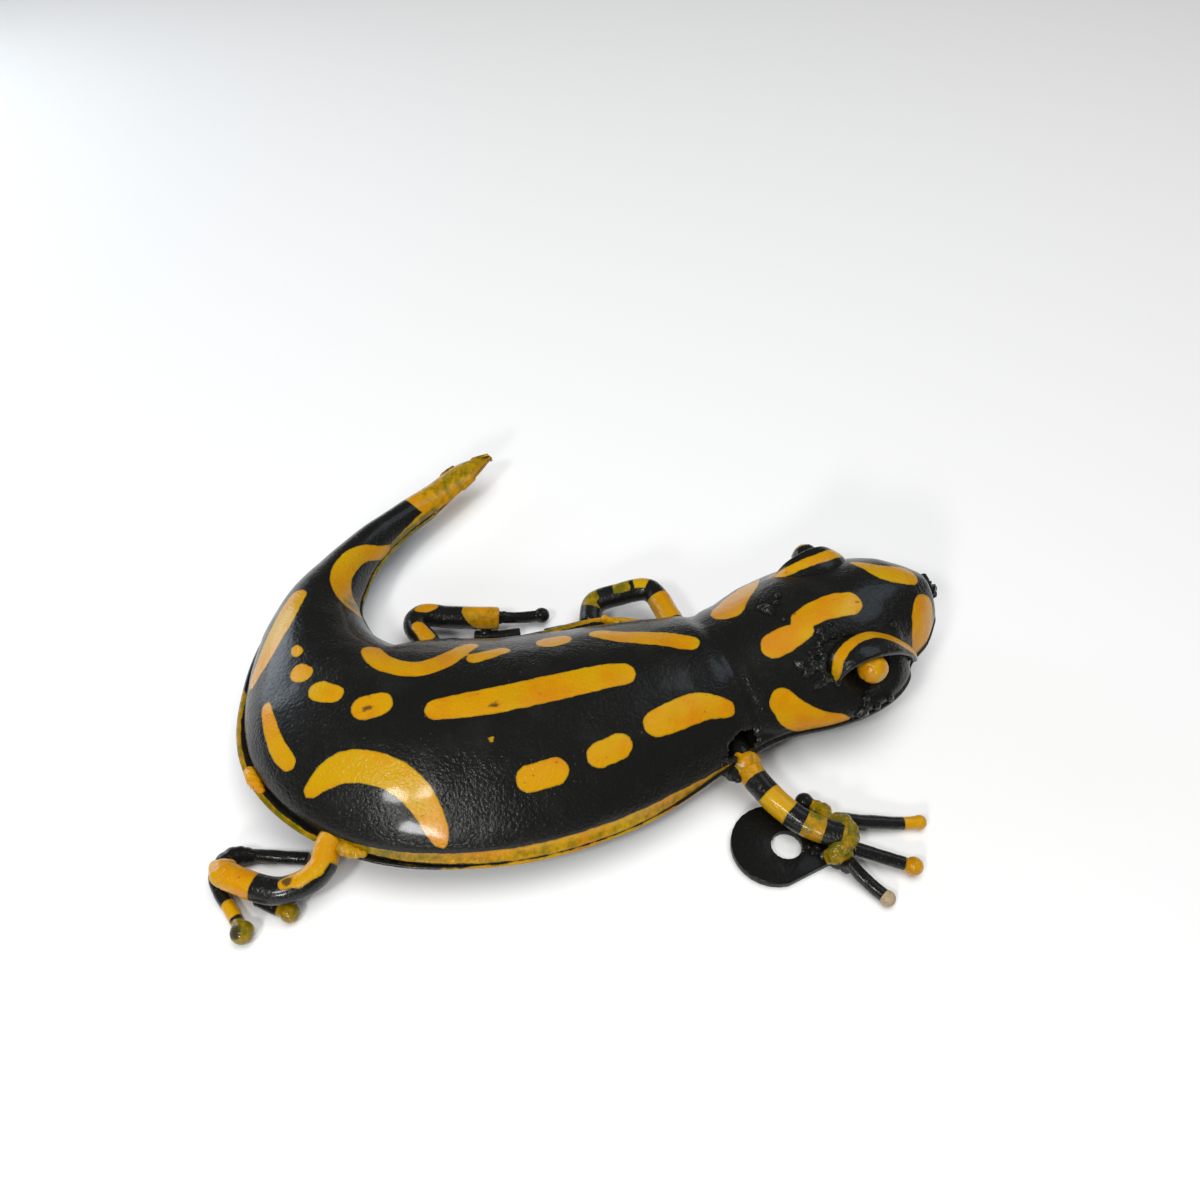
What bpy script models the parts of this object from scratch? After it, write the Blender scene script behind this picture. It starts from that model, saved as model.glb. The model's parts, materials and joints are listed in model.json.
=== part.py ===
# A fire salamander made as a garden ornament: domed sheet-steel shells over a rimmed belly pan,
# with hooded ball eyes, bent rod legs, thin rod toes and a flat fixing tab under one foot.
# +X runs towards the nose, +Y to the animal's left, +Z up; the floor is z = 0.
import bpy
import bmesh
from math import cos, exp, pi, radians, sin
from mathutils import Vector

MM = 0.001
GAP = 0.3          # between pieces that touch, in millimetres like all sizes below
SEAM = 0.6         # between two lengths of one sheet
PAN_GAP = 0.5      # between a dome's skirt and the pan's rim
SHEET = 1.5        # steel sheet of the shells and the pan
ROD = 6.0          # leg rod, radius
TOE = 3.0          # toe rod, radius
BALL = 4.2         # weld ball on a toe's end, radius
EYE = 7.0          # eyeball, radius
SKIRT = 3.0        # upright edge below each dome
PAN_RIM = 1.5      # how far the pan's rim stays below the dome's spring line
PAN_DEPTH = 11.0   # the dome's spring line down to the pan's floor, at the trunk
JAW_DEPTH = 5.5    # the same under the head, past JAW_START
JAW_START = 12.5   # station where it starts to flatten
TAB_THICK = 4.0
TAB_RADIUS = 19.5
TAB_HOLE = 7.0
ROD_SIDES = 10
TOE_SIDES = 8
TAB_MIDDLE, TAB_REACH, TAB_TURN = (78, -101, 0), 30, 8    # round end's centre, straight end, degrees
TAB_END = (-9.5, 9)           # the straight end, from side to side
TORCH_CUT, TORCH_SIZE = (67, -56, 27), (9.5, 8, 9)        # ragged gap over the right front leg
NOSE_WELD, NOSE_WELD_SIZE = (6, 0.5, 6), (3.5, 6, 4)         # ahead of, left of and above station 19
HOOD_REACH = 18                                          # depth of the egg that a visor is part of
HOOD_BACK, HOOD_OPEN = -80, 15                           # where a visor starts and ends, degrees

# Stations along the animal, tail tip first: x, y, spring line height, half width, dome height.
SPINE = [
    (-65.4, 144.3, 21, 2.0, 1.0),
    (-79, 130.6, 21, 8.3, 3.5),
    (-93.5, 110.5, 21, 9.1, 6.5),
    (-110.3, 89.7, 21, 9.1, 10),
    (-125.5, 68, 21, 11, 13),
    (-136.2, 44.6, 21.5, 14.8, 16),
    (-143, 17, 22, 22, 21),
    (-137.5, -14, 22, 34, 26),
    (-119, -42, 22, 50, 30),
    (-88, -56.5, 22, 59.5, 32),
    (-51, -58, 22, 61, 32),
    (-14, -50, 22, 58.8, 31),
    (19, -38, 22, 52.5, 30),
    (46, -28, 22.5, 44.5, 28),
    (69.2, -18.4, 23, 41, 28.5),
    (92, -8, 24.5, 46, 29.5),
    (114.3, 1.6, 26.5, 46, 30),
    (133, 12.4, 28.5, 37.2, 28),
    (150, 18.5, 30, 27.2, 23),
    (161, 23.2, 31, 14.6, 16),
    (166, 25, 31.5, 8, 10),
]
TO_MIDDLE = (0.5, 1.1, 0)    # from the stations' zero to the middle of the whole footprint
TAIL_CUTS = (2, 5, 8)         # where the tail and trunk are parted, as stations
TRUNK_END, NECK_END, NOSE = 13, 14.5, 20
EYE_STATION = 16.05
# Eyes, hand-set and so not quite alike: side, the ball's middle, then the visor's lip as its rear
# foot, top and front foot, each ahead of, aside from and above the spine at EYE_STATION.
EYES = {
    "left": (1, (11, 40, 12.5), ((-17, 32, 12), (9.5, 33, 26.5), (24, 30, 6))),
    "right": (-1, (-4.8, 35.9, 16.3), ((-23.5, 32.5, 15.5), (-3, 35, 28), (25, 33.5, 2))),
}
# The pan's rim stands away from the dome here: station, side, distance, spread in stations.
FLARES = [(7.9, -1, 4.0, 1.2), (11.7, 1, 2.4, 0.5)]


def clear_scene():
    for item in list(bpy.data.objects):
        bpy.data.objects.remove(item, do_unlink=True)


def paint(name, colour, roughness):
    material = bpy.data.materials.new(name)
    material.use_nodes = True
    shader = material.node_tree.nodes["Principled BSDF"]
    shader.inputs["Base Color"].default_value = (*colour, 1)
    shader.inputs["Roughness"].default_value = roughness
    shader.inputs["Metallic"].default_value = 0.0
    material.diffuse_color = (*colour, 1)
    return material


def add_object(name, bm, material):
    bmesh.ops.recalc_face_normals(bm, faces=bm.faces)
    bmesh.ops.translate(bm, vec=TO_MIDDLE, verts=bm.verts)
    bmesh.ops.scale(bm, vec=(MM, MM, MM), verts=bm.verts)
    mesh = bpy.data.meshes.new(name)
    bm.to_mesh(mesh)
    bm.free()
    mesh.materials.append(material)
    mesh.shade_smooth()
    mesh.set_sharp_from_angle(angle=radians(40))
    item = bpy.data.objects.new(name, mesh)
    bpy.context.scene.collection.objects.link(item)
    return item


def thicken(item):
    solidify = item.modifiers.new("sheet", "SOLIDIFY")
    solidify.thickness = SHEET * MM
    solidify.offset = -1
    solidify.use_even_offset = True


def cut(item, cutter):
    boolean = item.modifiers.new("cut " + cutter.name, "BOOLEAN")
    boolean.operation = "DIFFERENCE"
    boolean.object = cutter
    cutter.hide_render = True
    cutter.display_type = "WIRE"


# Curves

def between(rows, t):
    # Catmull-Rom through the rows, whose parameter is their index
    last = len(rows) - 1
    t = min(max(t, 0), last)
    i = min(int(t), last - 1)
    f = t - i
    a, b, c, d = (rows[min(max(k, 0), last)] for k in (i - 1, i, i + 1, i + 2))
    return [0.5 * (2 * q + (r - p) * f + (2 * p - 5 * q + 4 * r - s) * f * f
                   + (3 * q - p - 3 * r + s) * f ** 3) for p, q, r, s in zip(a, b, c, d)]


def section(t):
    # spine point, leftward and upward directions, half width and dome height at station t
    here, before, ahead = between(SPINE, t), between(SPINE, t - 0.1), between(SPINE, t + 0.1)
    along = (Vector(ahead[:3]) - Vector(before[:3])).normalized()
    left = Vector((0, 0, 1)).cross(along).normalized()
    return Vector(here[:3]), along, left, along.cross(left), here[3], here[4]


def stations(start, end):
    # half-station steps, both ends drawn in by half a seam, as (station, shift along the spine)
    inner = [(start + k / 2, 0) for k in range(1, round(2 * (end - start)))]
    return [(start, SEAM / 2)] + inner + [(end, -SEAM / 2)]


def flare(t, side):
    return sum(size * exp(-((t - middle) / spread) ** 2)
               for middle, at, size, spread in FLARES if at == side)


# Shells

def dome_row(t, shift, columns, swell=0.0):
    # one cross-section of the dome: skirt, arch, skirt
    middle, along, left, up, half, height = section(t)
    middle = middle + along * shift
    half, height = half + swell, height + swell
    skirt = min(SKIRT, 0.6 * height)
    row = [middle + left * half - up * skirt]
    for k in range(columns + 1):
        turn = pi * (0.5 - k / columns)
        row.append(middle + left * half * sin(turn) + up * height * abs(cos(turn)) ** 1.6)
    row.append(middle - left * half - up * skirt)
    return row


def pan_row(t, shift):
    # one cross-section of the pan's inside, from rim to rim
    middle, along, left, up, half, height = section(t)
    middle = middle + along * shift
    flat = min(max(t - JAW_START, 0), 1)
    depth = (PAN_DEPTH + (JAW_DEPTH - PAN_DEPTH) * flat) * min(1, (half + 9) / (40 - 22 * flat))
    wall = min(3.5, (0.4 + 0.25 * flat) * depth)
    row = []
    for side in (1, -1):
        edge = half + PAN_GAP
        flank = [(edge + flare(t, side), PAN_RIM), (edge, wall), (0.965 * edge, 0.75 * depth),
                 (0.88 * edge, 0.93 * depth), (0.66 * edge, depth)]
        points = [middle + left * side * out - up * down for out, down in flank]
        row += points if side == 1 else points[::-1]
    return row


def loft(rows):
    bm = bmesh.new()
    grid = [[bm.verts.new(point) for point in row] for row in rows]
    for row, following in zip(grid, grid[1:]):
        for k in range(len(row) - 1):
            bm.faces.new((row[k], row[k + 1], following[k + 1], following[k]))
    return bm, (grid[0], grid[-1])


def dome(name, start, end, columns, material, closed_front=False):
    bm, ends = loft([dome_row(t, shift, columns) for t, shift in stations(start, end)])
    if closed_front:
        bm.faces.new(ends[-1])
    return sheet(name, bm, material)


def pan(name, start, end, material, closed_front=False):
    places = stations(start, end)
    if closed_front:
        places[-1] = (end, GAP)
    bm, ends = loft([pan_row(t, shift) for t, shift in places])
    if closed_front:
        bm.faces.new(ends[-1])
    return sheet(name, bm, material)


def sheet(name, bm, material):
    # an open surface thickened downwards, after its faces are turned to look up
    item = add_object(name, bm, material)
    mesh = item.data
    if sum((face.normal * face.area for face in mesh.polygons), Vector()).z < 0:
        mesh.flip_normals()
    thicken(item)
    return item


def tail_tip(name, end, steps, columns, material):
    # the two sheets are hammered together into one solid leaf
    bm = bmesh.new()
    rings = []
    for k in range(steps + 1):
        t = end * k / steps
        shift = -SEAM / 2 if k == steps else 0
        middle, along, left, up, half, height = section(t)
        middle = middle + along * shift
        ring = []
        for step in range(2 * columns):
            turn = pi * (0.5 - step / columns)
            rise = height if step < columns else 0.55 * height
            ring.append(bm.verts.new(middle + left * half * sin(turn) + up * rise * cos(turn)))
        rings.append(ring)
    bridge(bm, rings)
    return add_object(name, bm, material)


def bridge(bm, rings):
    for ring, following in zip(rings, rings[1:]):
        for k in range(len(ring)):
            n = (k + 1) % len(ring)
            bm.faces.new((ring[k], ring[n], following[n], following[k]))
    bm.faces.new(rings[0])
    bm.faces.new(rings[-1])


# Rods

def ball_end(radius, rod):
    # rings of a weld ball as (distance past its centre, radius), out from the rod
    rings = [(-0.55, 0.84), (-0.2, 1), (0.2, 1), (0.55, 0.84), (0.82, 0.57), (0.97, 0.24)]
    return [(radius * along, max(radius * out, rod)) if along < 0 else (radius * along, radius * out)
            for along, out in rings]


def cut_end(rod):
    # a sawn end with a small chamfer
    return [(-0.18 * rod, rod), (0, 0.8 * rod)]


def rod(name, points, radius, sides, material, start=None, end=None, steps=3, swell=0.0):
    # a round bar bent smoothly through its points; start and end are lists of end rings
    start = start or cut_end(radius)
    end = end or cut_end(radius)
    count = steps * (len(points) - 1)
    path = [Vector(between(points, k / steps)) for k in range(count + 1)]
    for place in path:
        place.z = max(place.z, radius)      # nothing dips below the floor
    aims = [path[min(k + 1, count)] - path[max(k - 1, 0)] for k in range(count + 1)]
    if path[-1].z < ROD:
        aims[-1].z = 0                      # a foot's tip lies level
    places = [(path[0] - aims[0].normalized() * d, aims[0], r) for d, r in reversed(start)]
    places += [(p, aim, radius) for p, aim in zip(path[1:-1], aims[1:-1])]
    places += [(path[-1] + aims[-1].normalized() * d, aims[-1], r) for d, r in end]
    bm = bmesh.new()
    rings = []
    for middle, aim, size in places:
        aim = aim.normalized()
        left = Vector((0, 0, 1)).cross(aim).normalized()
        up = aim.cross(left)
        size = (size + swell) / cos(pi / sides)
        turns = [2 * pi * (k + 0.5) / sides for k in range(sides)]
        rings.append([bm.verts.new(middle + size * (left * sin(a) + up * cos(a))) for a in turns])
    bridge(bm, rings)
    return add_object(name, bm, material)


# Legs: each rod's points run from inside the body to the foot. The pan and domes are
# notched where a rod passes.
LEGS = {
    "leg_front_right": [(59, -46, 17.6), (63, -60, 17.6), (74, -79, 14.5), (90, -94, 11.5),
                        (109, -101.5, 10.4)],
    "leg_rear_right": [(-112, -94, 17.6), (-117, -109, 17.6), (-119, -119, 15.5), (-127, -126, 13.5),
                       (-140, -128, 12.6), (-160, -121, 12.4)],
    "leg_rear_left": [(-80, -12, 17.6), (-86, 3, 17.6), (-95, 16, 16), (-92, 25.5, 14), (-78, 26, 12),
                      (-53, 27, 10)],
    "leg_front_left": [(42, 4, 17.6), (35.5, 22, 17.6), (26, 39.5, 18), (10, 38.5, 16), (-3, 35, 12.5),
                       (-5, 23.5, 9.3)],
}


def build_legs(material, shells):
    for name, points in LEGS.items():
        rod(name, points, ROD, ROD_SIDES, material)
        notch = rod("notch_" + name, points[:4], ROD, ROD_SIDES, material, swell=0.5)
        for shell in shells:
            cut(shell, notch)


def build_feet(material, bare):
    low = TOE
    ball = BALL
    rod("toe_front_right_1", [(108, -91.2, 8.4), (122, -91, 5.6), (136, -90.5, low), (146, -90, low)],
        TOE, TOE_SIDES, material)
    rod("toe_front_right_2", [(111.5, -105.5, 8.4), (124.5, -108.8, 6), (138, -112.2, ball)], TOE, TOE_SIDES,
        material, end=ball_end(ball, TOE))
    rod("toe_front_right_3", [(108.6, -111.8, 8), (114, -117, 4.6), (119.5, -122.3, low),
                             (124, -126.8, low)], TOE, TOE_SIDES, bare)
    rod("toe_front_right_4", [(103.5, -88, 8.8), (98, -85.2, 8.6), (93, -82.5, 8.5)], TOE, TOE_SIDES,
        material, end=ball_end(ball, TOE))
    rod("toe_rear_right_1", [(-129, -108, low), (-145, -107, low), (-159, -106.5, low), (-166.5, -109, low),
                             (-168.5, -116, low), (-164.5, -124, low), (-157, -133, low), (-150, -143, 5)],
        TOE, TOE_SIDES, material, end=ball_end(5, TOE), steps=2)
    rod("toe_rear_right_2", [(-148, -127, low), (-139, -131, low), (-132, -134, ball)], TOE, TOE_SIDES,
        material, end=ball_end(ball, TOE))
    rod("toe_rear_left_1", [(-51, 29, 8.4), (-42, 30.5, 6.6), (-31, 32.5, 6.2)], TOE, TOE_SIDES,
        material, end=ball_end(ball, TOE))
    rod("toe_rear_left_2", [(-66, 20.8, low), (-55, 20.8, low), (-42, 22.5, low)], TOE, TOE_SIDES, material)
    rod("toe_front_left_1", [(-13, 25.5, low), (-20, 24.5, low), (-29, 22, low)], TOE, TOE_SIDES, material)
    rod("toe_front_left_2", [(-10, 17.5, 4.5), (-16, 13, low), (-23, 7, low)], TOE, TOE_SIDES, material)
    rod("toe_front_left_3", [(-3, 18, 4.5), (-4, 10, low), (-7, 2, low)], TOE, TOE_SIDES, material)


def build_tab(material):
    # a flat bar with one round end, lying on the floor under the right front foot
    middle, turn = Vector(TAB_MIDDLE), radians(TAB_TURN)
    along = Vector((cos(turn), sin(turn), 0))
    across = Vector((-along.y, along.x, 0))
    bm = bmesh.new()
    outline = [middle + TAB_RADIUS * (cos(a) * along + sin(a) * across)
               for a in (radians(75) + radians(200) * k / 16 for k in range(17))]
    outline += [middle + along * TAB_REACH + across * side for side in TAB_END]
    face = bm.faces.new([bm.verts.new(point) for point in outline])
    lifted = bmesh.ops.extrude_face_region(bm, geom=[face])["geom"]
    bmesh.ops.translate(bm, vec=(0, 0, TAB_THICK),
                        verts=[part for part in lifted if isinstance(part, bmesh.types.BMVert)])
    tab = add_object("fixing_tab", bm, material)
    hole = bmesh.new()
    bmesh.ops.create_cone(hole, cap_ends=True, segments=18, radius1=TAB_HOLE, radius2=TAB_HOLE, depth=20)
    bmesh.ops.translate(hole, vec=middle + along * 5.3 - across * 1.2, verts=hole.verts)
    cut(tab, add_object("tab_hole", hole, material))


# Head fittings

def head_volume(material):
    # the closed space under the head dome, one gap larger, that trims what sits on the head
    bm = bmesh.new()
    rings = [[bm.verts.new(point) for point in dome_row(t, 0, 16, swell=2 * GAP)]
             for t in (NECK_END - 1 + 0.5 * k for k in range(14))]
    bridge(bm, rings)
    return add_object("head_volume", bm, material)


def build_eyes(black, yellow, head):
    spine, along, left, up, half, height = section(EYE_STATION)

    def beside(side, place):
        ahead, aside, above = place
        return spine + along * ahead + left * side * aside + up * above

    for name, (side, eye, lip) in EYES.items():
        ball = bmesh.new()
        bmesh.ops.create_uvsphere(ball, u_segments=14, v_segments=9, radius=EYE)
        bmesh.ops.translate(ball, vec=beside(side, eye), verts=ball.verts)
        cut(add_object("eye_" + name, ball, yellow), head)
        feet = [beside(side, place) for place in lip]
        build_hood("eye_hood_" + name, *feet, left * side, black, head)


def build_hood(name, rear, top, front, out, material, head):
    # a visor: a hollow half egg over the eye, open to the side
    middle = (rear + front) / 2
    rows = []
    for k in range(9):
        turn = radians(HOOD_BACK + (HOOD_OPEN - HOOD_BACK) * k / 8)
        inward = HOOD_REACH * (sin(turn) - sin(radians(HOOD_OPEN)))
        size = cos(turn) / cos(radians(HOOD_OPEN))
        rows.append([middle + out * inward + size * ((rear - middle) * cos(pi * n / 12)
                                                     + (top - middle) * sin(pi * n / 12))
                     for n in range(13)])
    cut(sheet(name, loft(rows)[0], material), head)


def torch_cut(material, neck):
    # a ragged torch cut in the neck's edge, over the right front leg
    bm = bmesh.new()
    bmesh.ops.create_icosphere(bm, subdivisions=1, radius=1)
    bmesh.ops.scale(bm, vec=TORCH_SIZE, verts=bm.verts)
    bmesh.ops.translate(bm, vec=TORCH_CUT, verts=bm.verts)
    cut(neck, add_object("torch_cut", bm, material))


def nose_weld(material, head):
    # the seam at the nose is closed with a lump of weld
    spine, along, left, up, half, height = section(NOSE - 1)
    ahead, aside, above = NOSE_WELD
    middle = spine + along * ahead + left * aside + up * above
    bm = bmesh.new()
    bmesh.ops.create_icosphere(bm, subdivisions=2, radius=1)
    bmesh.ops.scale(bm, vec=NOSE_WELD_SIZE, verts=bm.verts)
    bmesh.ops.translate(bm, vec=middle, verts=bm.verts)
    cut(add_object("nose_weld", bm, material), head)


def build():
    clear_scene()
    black = paint("black enamel", (0.012, 0.012, 0.014), 0.35)
    yellow = paint("yellow enamel", (0.80, 0.35, 0.01), 0.35)
    bare = paint("bare steel", (0.35, 0.30, 0.24), 0.5)

    first, second, third = TAIL_CUTS
    tail_tip("tail_tip", first, 5, 7, yellow)
    shells = [
        dome("tail_end", first, second, 10, black),
        dome("tail_root", second, third, 12, black),
        dome("trunk", third, TRUNK_END, 16, black),
        dome("neck", TRUNK_END, NECK_END, 16, black),
        dome("head", NECK_END, NOSE, 16, black, closed_front=True),
        pan("tail_pan", first, 6.5, yellow),
        pan("belly_pan", 6.5, 13.5, yellow),
        pan("jaw_pan", 13.5, NOSE, black, closed_front=True),
    ]
    build_legs(black, shells[1:])
    build_feet(black, bare)
    build_tab(black)
    torch_cut(black, shells[3])
    head = head_volume(black)
    build_eyes(black, yellow, head)
    nose_weld(black, head)


build()
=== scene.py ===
import json
from math import cos, exp, pi, radians, sin, sqrt

import bmesh
import bpy
import numpy as np
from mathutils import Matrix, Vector, noise

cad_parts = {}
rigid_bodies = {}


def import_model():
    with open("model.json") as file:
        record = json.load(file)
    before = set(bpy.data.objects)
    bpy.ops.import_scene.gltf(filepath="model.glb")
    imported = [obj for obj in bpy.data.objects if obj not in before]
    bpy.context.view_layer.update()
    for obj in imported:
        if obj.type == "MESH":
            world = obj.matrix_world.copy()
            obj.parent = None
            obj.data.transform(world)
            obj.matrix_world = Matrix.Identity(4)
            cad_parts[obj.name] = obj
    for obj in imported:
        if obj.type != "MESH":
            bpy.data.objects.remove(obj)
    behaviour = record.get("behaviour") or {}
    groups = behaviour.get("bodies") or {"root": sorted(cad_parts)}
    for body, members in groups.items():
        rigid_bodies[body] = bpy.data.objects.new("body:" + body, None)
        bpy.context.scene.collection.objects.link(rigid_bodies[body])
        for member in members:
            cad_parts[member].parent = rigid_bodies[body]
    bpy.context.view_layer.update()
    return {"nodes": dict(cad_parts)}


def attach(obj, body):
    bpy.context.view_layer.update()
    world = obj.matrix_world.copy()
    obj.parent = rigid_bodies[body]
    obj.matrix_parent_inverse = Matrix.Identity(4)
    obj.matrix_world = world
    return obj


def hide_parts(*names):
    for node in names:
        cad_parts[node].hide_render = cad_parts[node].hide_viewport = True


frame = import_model()
mm = 0.001
upward = Vector((0, 0, 1))

# the body's middle line, tail tip first: x, y, height of the shell's lower edge, half width, dome height
bodyForm = {
    "stations": [
        (-65.4, 144.3, 21, 2.0, 1.0), (-79, 130.6, 21, 8.3, 3.5), (-93.5, 110.5, 21, 9.1, 6.5),
        (-110.3, 89.7, 21, 9.1, 10), (-125.5, 68, 21, 11, 13), (-136.2, 44.6, 21.5, 14.8, 16),
        (-143, 17, 22, 22, 21), (-137.5, -14, 22, 34, 26), (-119, -42, 22, 50, 30),
        (-88, -56.5, 22, 59.5, 32), (-51, -58, 22, 61, 32), (-14, -50, 22, 58.8, 31),
        (19, -38, 22, 52.5, 30), (46, -28, 22.5, 44.5, 28), (69.2, -18.4, 23, 41, 28.5),
        (92, -8, 24.5, 46, 29.5), (114.3, 1.6, 26.5, 46, 30), (133, 12.4, 28.5, 37.2, 28),
        (150, 18.5, 30, 27.2, 23), (161, 22.4, 31, 16.2, 16), (166, 24.0, 31.5, 10, 10),
    ],
    "toMiddle": Vector((0.5, 1.1, 0)),   # from the stations' zero to the model's
    "noseStation": 20,
    "leafEnd": 2,    # behind this the two sheets are one leaf
    "arch": 1.6,    # above 1, the dome's sides are flatter and its top is sharper
    "snoutStart": 19.15, "snoutLength": 0.85, "snoutLeast": 0.006,    # where the snout draws in and shuts
}


def between(rows, t):
    # smooth values between rows that stand one step apart
    last = len(rows) - 1
    t = min(max(t, 0), last)
    i = min(int(t), last - 1)
    f = t - i
    a, b, c, d = (rows[min(max(k, 0), last)] for k in (i - 1, i, i + 1, i + 2))
    return [0.5 * (2 * q + (r - p) * f + (2 * p - 5 * q + 4 * r - s) * f * f
                   + (3 * q - p - 3 * r + s) * f ** 3) for p, q, r, s in zip(a, b, c, d)]


def smoothRows(rows, steps):
    # the same at even steps all along them
    return [between(rows, k / steps) for k in range(steps * (len(rows) - 1) + 1)]


def ease(x, start, end):
    x = min(max((x - start) / (end - start), 0), 1)
    return x * x * (3 - 2 * x)


def section(t):
    rows = bodyForm["stations"]
    here, before, ahead = between(rows, t), between(rows, t - 0.1), between(rows, t + 0.1)
    along = (Vector(ahead[:3]) - Vector(before[:3])).normalized()
    left = upward.cross(along).normalized()
    return Vector(here[:3]), along, left, along.cross(left), here[3], here[4]


def shellPoint(t, across):
    # a place on the dome: station, and -1 at the right edge to 1 at the left one
    middle, along, left, up, half, height = section(t)
    turn = across * pi / 2
    return middle + left * half * sin(turn) + up * (height * abs(cos(turn)) ** bodyForm["arch"])


# meshes

def makePiece(name, bm, finish):
    # millimetres to metres, from the stations' zero to the model's
    bmesh.ops.translate(bm, vec=bodyForm["toMiddle"], verts=bm.verts)
    bmesh.ops.scale(bm, vec=(mm, mm, mm), verts=bm.verts)
    mesh = bpy.data.meshes.new(name)
    bm.to_mesh(mesh)
    bm.free()
    mesh.shade_smooth()
    mesh.materials.append(finish)
    piece = bpy.data.objects.new(name, mesh)
    bpy.context.scene.collection.objects.link(piece)
    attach(piece, "root")
    return piece


def settle(piece):
    # what the modifiers make becomes the mesh
    graph = bpy.context.evaluated_depsgraph_get()
    mesh = bpy.data.meshes.new_from_object(piece.evaluated_get(graph))
    old = piece.data
    piece.modifiers.clear()
    piece.data = mesh
    mesh.name = old.name + "Settled"
    bpy.data.meshes.remove(old)


def shapeGrid(form, spotAt, facing=1):
    # a flat grid moved to the places of spotAt(x, y), x and y from -1 to 1, facing up, or down at -1
    bm = bmesh.new()
    bmesh.ops.create_grid(bm, x_segments=form["columns"], y_segments=form["rows"], size=1)
    for vert in bm.verts:
        vert.co = spotAt(vert.co.x, vert.co.y)
    bmesh.ops.recalc_face_normals(bm, faces=bm.faces)
    if sum(face.normal.z * face.calc_area() for face in bm.faces) * facing < 0:
        bmesh.ops.reverse_faces(bm, faces=bm.faces)
    return bm


def stationAt(y):
    return (y + 1) * bodyForm["noseStation"] / 2


def places(mesh):
    # the mesh's points in millimetres from the stations' zero
    flat = np.empty(len(mesh.vertices) * 3)
    mesh.vertices.foreach_get("co", flat)
    return flat.reshape(-1, 3) / mm - np.array(bodyForm["toMiddle"])


def chainField(spots, chain):
    # how far each spot is inside a chain of (point, radius), in millimetres
    field = np.full(len(spots), -1e3)
    for (a, ra), (b, rb) in zip(chain, chain[1:]):
        a, b = np.array(a), np.array(b)
        span = b - a
        f = np.clip((spots - a) @ span / max(span @ span, 1e-9), 0, 1)
        away = np.linalg.norm(spots - a - f[:, None] * span, axis=1)
        field = np.maximum(field, ra + (rb - ra) * f - away)
    return field


def softSpot(spots, chain, soft):
    # 1 inside the chain and 0 outside it, over soft millimetres
    return np.clip(0.5 + chainField(spots, chain) / soft, 0, 1)


def bodyChain(marks, steps=8):
    # marks drawn on the dome as (station, across, radius)
    return [(shellPoint(t, across), radius) for t, across, radius in smoothRows(marks, steps)]


def brushed(spots, strokes):
    # strokes in the order they were painted: ("yellow" or "black", chain)
    field = np.full(len(spots), -20.0)
    for colour, chain in strokes:
        inside = chainField(spots, chain)
        field = np.maximum(field, inside) if colour == "yellow" else np.minimum(field, -inside)
    return field


def setField(mesh, name, values):
    layer = mesh.attributes.get(name) or mesh.attributes.new(name, "FLOAT", "POINT")
    layer.data.foreach_set("value", np.asarray(values, dtype=np.float32))


# enamel

class Value:
    # a node's output that Python's operators work on
    def __init__(self, finish, socket):
        self.finish, self.socket = finish, socket

    def __add__(self, other):
        return self.finish.maths("ADD", self, other)

    __radd__ = __add__

    def __sub__(self, other):
        return self.finish.maths("SUBTRACT", self, other)

    def __rsub__(self, other):
        return self.finish.maths("SUBTRACT", other, self)

    def __mul__(self, other):
        return self.finish.maths("MULTIPLY", self, other)

    __rmul__ = __mul__

    def within(self, low, high):
        # 0 at low, 1 at high, and no more
        return self.finish.node("MapRange", {"clamp": True},
                                {"Value": self, "From Min": low, "From Max": high})


class Finish:
    # one material and what its nodes are made with
    def __init__(self, name, roughness=0.4, coat=0.0, coatRoughness=0.12):
        self.material = bpy.data.materials.new(name)
        self.material.use_nodes = True
        self.tree = self.material.node_tree
        self.shader = self.tree.nodes["Principled BSDF"]
        self.shader.inputs["Roughness"].default_value = roughness
        self.shader.inputs["Coat Weight"].default_value = coat
        self.shader.inputs["Coat Roughness"].default_value = coatRoughness
        self.where = self.node("TexCoord", out="Object")

    def node(self, kind, settings=None, inputs=None, out=0):
        node = self.tree.nodes.new("ShaderNode" + kind)
        for key, value in (settings or {}).items():
            setattr(node, key, value)
        for key, value in (inputs or {}).items():
            if isinstance(value, Value):
                self.tree.links.new(value.socket, node.inputs[key])
            else:
                node.inputs[key].default_value = value
        return Value(self, node.outputs[out])

    def maths(self, operation, a, b):
        return self.node("Math", {"operation": operation}, {0: a, 1: b})

    def cloud(self, size, detail=2.0, roughness=0.5, stretch=None):
        # soft noise whose lumps are about size millimetres across
        spot = self.where
        if stretch:
            spot = self.node("Mapping", {}, {"Vector": spot, "Scale": stretch})
        return self.node("TexNoise", {}, {"Vector": spot, "Scale": 1 / (size * mm), "Detail": detail,
                                          "Roughness": roughness})

    def field(self, name):
        return self.node("Attribute", {"attribute_name": name}, out="Fac")

    def blend(self, amount, a, b):
        # colours a to b, each a tuple or a Value
        a, b = ((*c, 1) if isinstance(c, tuple) else c for c in (a, b))
        return self.node("Mix", {"data_type": "RGBA"}, {0: amount, 6: a, 7: b}, out=2)

    def feed(self, **sockets):
        for name, value in sockets.items():
            self.tree.links.new(value.socket, self.shader.inputs[name.replace("_", " ")])

    def bump(self, height, strength):
        # height in millimetres
        self.feed(Normal=self.node("Bump", {}, {"Height": height, "Distance": mm, "Strength": strength}))


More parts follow.
